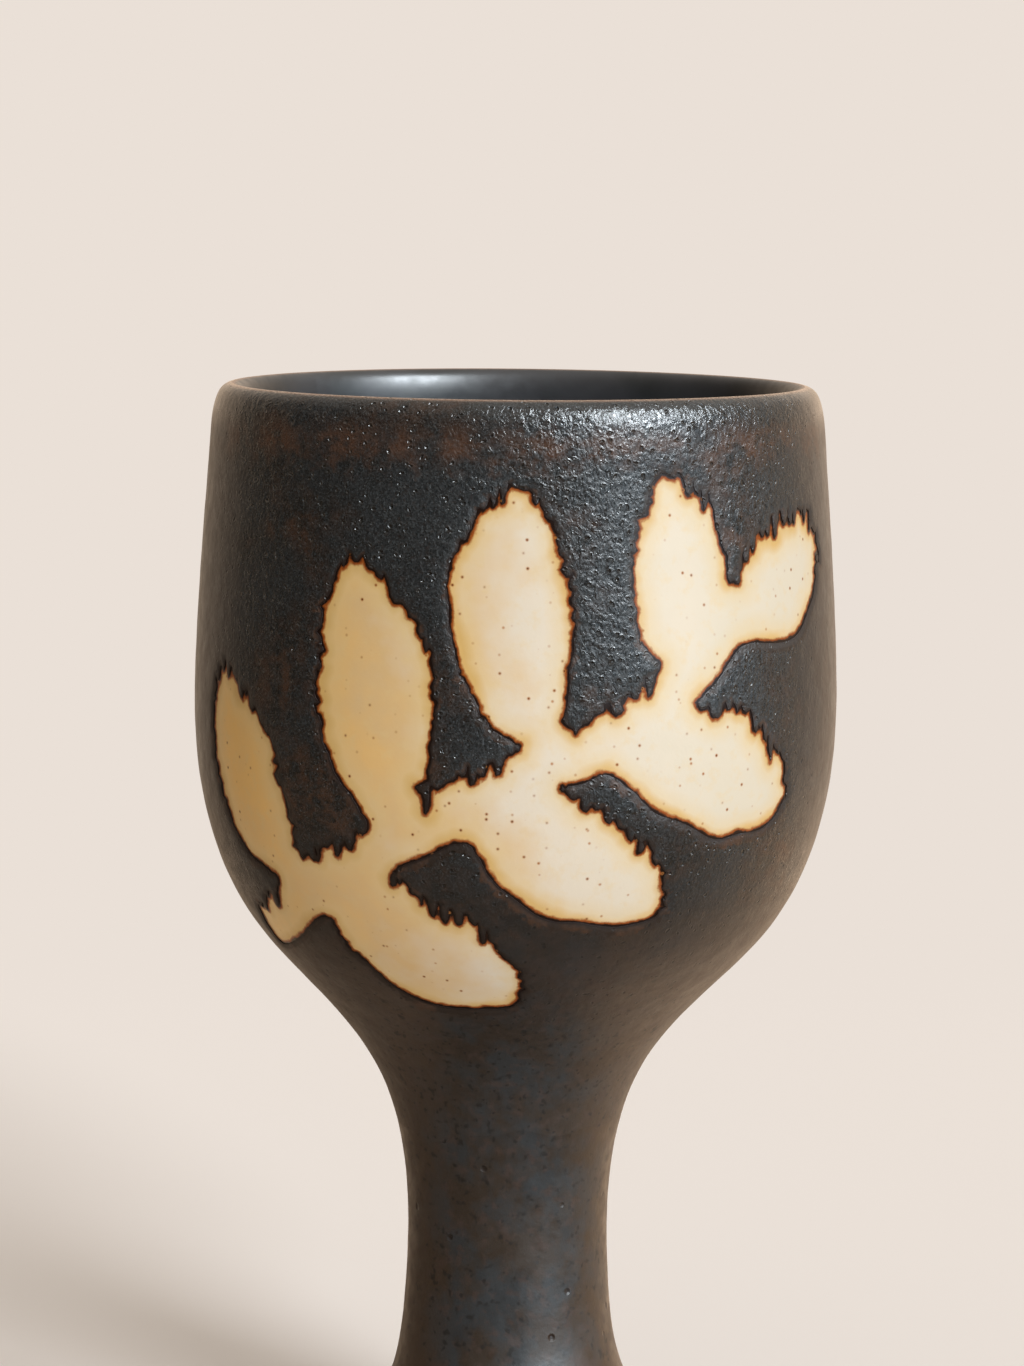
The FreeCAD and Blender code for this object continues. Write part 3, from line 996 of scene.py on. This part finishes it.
def build_dark_coat():
    """The bowl's dark coat with the sprig cut out, thinner towards that edge.

    Returns the grid's distances to the edge, which are below zero where the cream shows.
    """
    turn, run = np.meshgrid(bowl_turns, bowl_runs)
    field = without_free_drops(sprig_field(turn, run))
    # No corner of the grid lies on the edge itself
    field = np.where(np.abs(field) < 1e-3, 1e-3, field)
    turns, runs, source, faces, cuts, numbers = cut_grid(field, bowl_turns, bowl_runs)

    outer = place(turns, runs, 0.0)
    grid_points = place(turn, run, 0.0).reshape(-1, 3)
    near = np.abs(field.ravel()) < searched_field
    away = np.full(field.size, edge_reach)
    away[near] = distance_to_cuts(grid_points[near], outer[cuts[:, 0]], outer[cuts[:, 1]], edge_reach)
    edge = np.where(field.ravel() > 0, away, -away).reshape(field.shape)
    below = np.clip(-np.gradient(edge, axis=0) / np.gradient(run, axis=0), 0.0, 1.0)
    below = np.where(edge < edge_reach - 0.1, below, 0.0)

    edge_here = np.where(source >= 0, edge.ravel()[source], 0.0)
    below_here = np.where(source >= 0, below.ravel()[source], 0.5)
    thin = (1 - np.clip(edge_here / dark_rounding, 0, 1)) ** 2
    under = np.where(runs > cream_run - 0.01, dark_thickness, glaze_thickness - hidden_gap)
    points = np.concatenate([place(turns, runs, edge_drop * thin), place(turns, runs, under)])
    count = len(turns)
    inner_faces = [[c + count for c in reversed(face)] for face in faces]
    walls = np.stack([cuts[:, 1], cuts[:, 0], cuts[:, 0] + count, cuts[:, 1] + count], axis=1).tolist()
    columns = len(bowl_turns)
    ends = []
    for first, flip in ((0, False), (field.size - columns, True)):
        here = numbers[first : first + columns]
        after = np.roll(here, -1)
        quad = np.stack([after, here, here + count, after + count], axis=1)
        ends += (quad[:, ::-1] if flip else quad).tolist()
    values = [
        ("edge_distance", np.tile(edge_here, 2)),
        ("edge_below", np.tile(below_here, 2)),
        ("from_crest", np.abs(np.tile(runs, 2) - crest_run)),
    ]
    faces = faces + inner_faces + walls + ends
    dark = make_piece("bowl_dark_coat", points, faces, dark_finish, values)
    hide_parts("dark_glaze_bowl")
    return edge


def build_cream_coat(edge):
    """The cream coat, which rises to meet the edge of the dark coat."""
    shown_edge = edge[len(lower_runs) :]
    rise = (1 - np.clip(np.abs(shown_edge) / cream_rounding, 0, 1)) ** 2
    depth = dark_thickness - (dark_thickness - edge_drop - cream_gap) * rise
    hidden_runs = runs_between((cream_run, crest_run, hidden_step))
    face = (bowl_turns, upper_runs, depth, hidden_runs, glaze_thickness)
    cream_piece = coat("bowl_cream_coat", *face, "cream_glaze", cream_finish, shown_edge)
    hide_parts("cream_glaze")


def build_stem_coat():
    """The stem's coat, from the dip line down to the wiped foot.

    It ends softly at the foot, and lies a hair lower than the bowl's coat at the dip line.
    """
    turns = plain_turns(foot_radius)
    flare_run = run_at(foot_detail_height)
    runs = runs_between((0.0, flare_run, foot_step), (flare_run, dip_run, plain_step))
    wiped = glaze_thickness * 0.7 * (1 - smoothstep(0.0, 1.1, runs))
    depth = wiped + 0.02 * smoothstep(dip_run - 2, dip_run, runs)
    face = (turns, runs, depth[:, None], runs, glaze_thickness)
    piece = coat("stem_dark_coat", *face, "dark_glaze", stem_finish)
    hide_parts("dark_glaze_stem")


def build_liner():
    """The liner, from the crest down to the middle of the bowl's floor."""
    turns = plain_turns(inner_rim_radius)
    rolled = crest_run + lip_detail_run
    shown_runs = runs_between((crest_run, rolled, lip_step), (rolled, last_run, plain_step))
    hidden_runs = runs_between((crest_run, last_run, hidden_step))
    face = (turns, shown_runs, 0.0, hidden_runs, liner_thickness)
    piece = coat("bowl_liner", *face, "liner_glaze", liner_finish)
    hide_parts("liner_glaze")


def build_stem_clay():
    """The clay stem: under its coat, round the bare foot, across the ring and up the hollow.

    The hollow carries the spiral ridge that fingers leave.
    """
    wall_runs = runs_between((0.0, run_at(seat_height - seat_chamfer_height), plain_step))
    wall = np.stack(read(section, wall_runs), axis=1)
    wall -= (glaze_thickness + hidden_gap) * np.stack(read(section_out, wall_runs), axis=1)
    angle = np.linspace(0.0, math.pi / 2, 7)
    centre = bare_foot_radius - foot_base_round
    corner_height = foot_base_round * (1 - np.sin(angle))
    corner = np.stack([centre + foot_base_round * np.cos(angle), corner_height], axis=1)
    hollow = spline(hollow_points(), plain_step)
    ring = np.linspace(corner[-1], hollow[0], 8)[1:-1]
    seat = np.array([[seat_radius, seat_height], [wall[-1][0] - seat_chamfer_width, seat_height]])
    section_line = np.concatenate([wall[::-1], corner, ring, hollow, seat])
    turns = plain_turns(foot_radius)
    line_radius = np.repeat(section_line[:, :1], len(turns), axis=1)
    line_height = np.repeat(section_line[:, 1:], len(turns), axis=1)
    first = len(wall) + len(corner) + len(ring)
    inside = np.zeros(len(section_line))
    inside[first + 2 : first + len(hollow) - 2] = 1.0
    ridge = np.sin(2 * math.pi * line_height / finger_ridge_pitch + turns[None]) - 1
    line_radius = line_radius + finger_ridge * ridge * inside[:, None]
    across = line_radius * np.sin(turns) + lean(line_height)
    points = np.stack([across, -line_radius * np.cos(turns), line_height], axis=-1)
    faces = ring_faces(len(section_line), len(turns))[:, ::-1].tolist()
    piece = make_piece("stem_clay", points.reshape(-1, 3), faces, clay_finish)
    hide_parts("stem_and_foot")


build_cream_coat(build_dark_coat())
build_stem_coat()
build_liner()
build_stem_clay()

shared_finishes = {"bowl_body": clay_finish, "joint_slip": slip_finish, "joint_coil": slip_finish}
for node_name, finish in shared_finishes.items():
    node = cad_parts[node_name]
    if not node.material_slots:
        node.data.materials.append(finish)
    node.material_slots[0].material = finish


# Setting

paper_colour = (0.823, 0.745, 0.68)
lit_paper_colour = (0.925, 0.89, 0.86)
room_colour = (0.9, 0.685, 0.5)
mirrored_paper_colour = (1.0, 0.72, 0.49)
ceiling_colour = (1.0, 0.95, 0.88)
daylight = (0.95, 0.97, 1.0)
sky_light = (0.86, 0.94, 1.0)
blue_sheen = (0.72, 0.87, 1.0)
floor_radius = 500.0
lit_floor_radius = 300.0
plain_floor_radius = 480.0
floor_gap = 0.03


def room_strength(way, brightest_way, dimmest, start):
    """How bright the room is in a direction: dim in front and brightest along brightest_way.

    With t from 0 to 1 as their product goes from start to 1, and d for the dimmest, it is
    d + (1-d)·t + 0.5·t^10.
    """
    side = add("VectorMath", {0: way, 1: brightest_way}, operation="DOT_PRODUCT").outputs["Value"]
    t = rescale(side, start, 1.0)
    rim = times(arithmetic("POWER", t, 10.0), 0.5)
    return plus(rescale(t, 0.0, 1.0, dimmest, 1.0), rim)


def build_stage():
    """A pale round floor.

    The camera sees it as it is lit round the cup, and farther off in the world's plain colour. The
    cup mirrors it as dim in front as the room is there, and from beneath it is clear.
    """
    material, where = shader("pale_paper")
    tree = material.node_tree
    rays = new_node(tree, "LightPath").outputs
    flat = add("VectorMath", {0: where, 1: (1.0, 1.0, 0.0)}, operation="MULTIPLY").outputs[0]
    away = add("VectorMath", {0: flat}, operation="LENGTH").outputs["Value"]
    limits = {"From Min": lit_floor_radius, "From Max": plain_floor_radius}
    far = add("MapRange", {"Value": away, **limits}, interpolation_type="SMOOTHSTEP").outputs[0]
    way = add("VectorMath", {0: flat}, operation="NORMALIZE").outputs[0]
    lit = new_node(tree, "BsdfDiffuse", {"Color": lit_paper_colour}).outputs[0]
    plain = new_node(tree, "Emission", {"Color": paper_colour}).outputs[0]
    strength = room_strength(way, brightest_way=(0.45, 0.89, 0.0), dimmest=0.17, start=-0.05)
    room = add("Emission", {"Color": mirrored_paper_colour, "Strength": strength}).outputs[0]
    beneath = new_node(tree, "NewGeometry").outputs["Backfacing"]
    clear = new_node(tree, "BsdfTransparent").outputs[0]
    seen = add("MixShader", {0: times(far, rays["Is Camera Ray"]), 1: lit, 2: plain}).outputs[0]
    seen = add("MixShader", {0: rays["Is Glossy Ray"], 1: seen, 2: room}).outputs[0]
    seen = add("MixShader", {0: beneath, 1: seen, 2: clear}).outputs[0]
    add("OutputMaterial", {"Surface": seen})
    angle = np.linspace(0.0, 2 * math.pi, 96, endpoint=False)
    height = np.full(len(angle), -floor_gap)
    points = MM * np.stack([floor_radius * np.cos(angle), floor_radius * np.sin(angle), height], axis=1)
    mesh = bpy.data.meshes.new("paper_floor")
    mesh.from_pydata(points.tolist(), [], [list(range(len(angle)))])
    mesh.materials.append(material)
    floor = add_object("paper_floor", mesh)


def add_light(name, azimuth, elevation, spread, strength, colour, mirrored):
    """A far, soft lamp that either lights the surfaces or is mirrored by them.

    Azimuth is from the camera, positive to the right, and spread is its width, all in degrees.
    """
    lamp = bpy.data.lights.new(name, "SUN")
    lamp.angle = math.radians(spread)
    lamp.energy = strength
    lamp.color = colour
    obj = add_object(name, lamp)
    obj.rotation_euler = (math.radians(90 - elevation), 0.0, math.radians(azimuth))
    obj.visible_glossy = mirrored
    obj.visible_diffuse = not mirrored


def build_world():
    """The paper's colour for the camera, and for all else the room.

    The room is pale behind, light from above and from the right, and dim in front of the cup. The
    light that it casts is a little dimmer than its mirror image.
    """
    world = bpy.data.worlds.new("room")
    bpy.context.scene.world = world
    world.use_nodes = True
    tree = world.node_tree
    way = new_node(tree, "TexCoord").outputs["Generated"]
    apart = add("SeparateXYZ", {0: way}).outputs
    leaning = rescale(apart["X"], -1.0, 1.0, 0.5, 1.5)
    risen = times(rescale(apart["Z"], 0.15, 0.75, 0.0, 0.66), leaning)
    strength = room_strength(way, brightest_way=(0.22, 1.0, 0.0), dimmest=0.06, start=0.15)
    strength = larger(strength, risen)
    rays = new_node(tree, "LightPath").outputs
    seen = rays["Is Camera Ray"]
    strength = times(strength, rescale(rays["Is Diffuse Ray"], 0.0, 1.0, 1.0, 0.88))
    tint = blend(risen, room_colour, ceiling_colour)
    background = tree.nodes["Background"]
    tree.links.new(blend(seen, tint, paper_colour), background.inputs["Color"])
    unseen = times(strength, minus(1.0, seen))
    tree.links.new(plus(unseen, seen), background.inputs["Strength"])


# Camera, from where the photograph's outline was fitted
camera_distance = 700.0
camera_above_rim = 38.19
camera_sideways = -0.5
camera_pitch = 6.35
camera_roll = 0.5
focal_pixels = 5318.0
photo_height = 1366
sensor_size = 36.0


def build_camera():
    data = bpy.data.cameras.new("photo_camera")
    data.sensor_width = sensor_size
    data.lens = focal_pixels * sensor_size / photo_height
    data.clip_start, data.clip_end = 10 * MM, 20.0
    camera = add_object("photo_camera", data)
    tilted = Matrix.Rotation(math.radians(90 - camera_pitch), 4, "X")
    turned = tilted @ Matrix.Rotation(math.radians(camera_roll), 4, "Z")
    spot = (camera_sideways * MM, -camera_distance * MM, (total_height + camera_above_rim) * MM)
    camera.matrix_world = Matrix.Translation(spot) @ turned
    bpy.context.scene.camera = camera


build_stage()
build_world()
build_camera()
add_light("window", 48.0, 40.0, 24.0, 1.0, daylight, mirrored=False)
add_light("window_side", 29.0, 21.0, 16.0, 2.0, daylight, mirrored=False)
add_light("window_mirrored", 48.0, 33.0, 20.0, 3.6, sky_light, mirrored=True)
add_light("window_sheen", 56.0, 16.0, 50.0, 0.85, blue_sheen, mirrored=True)

bpy.context.scene.view_settings.view_transform = "Standard"
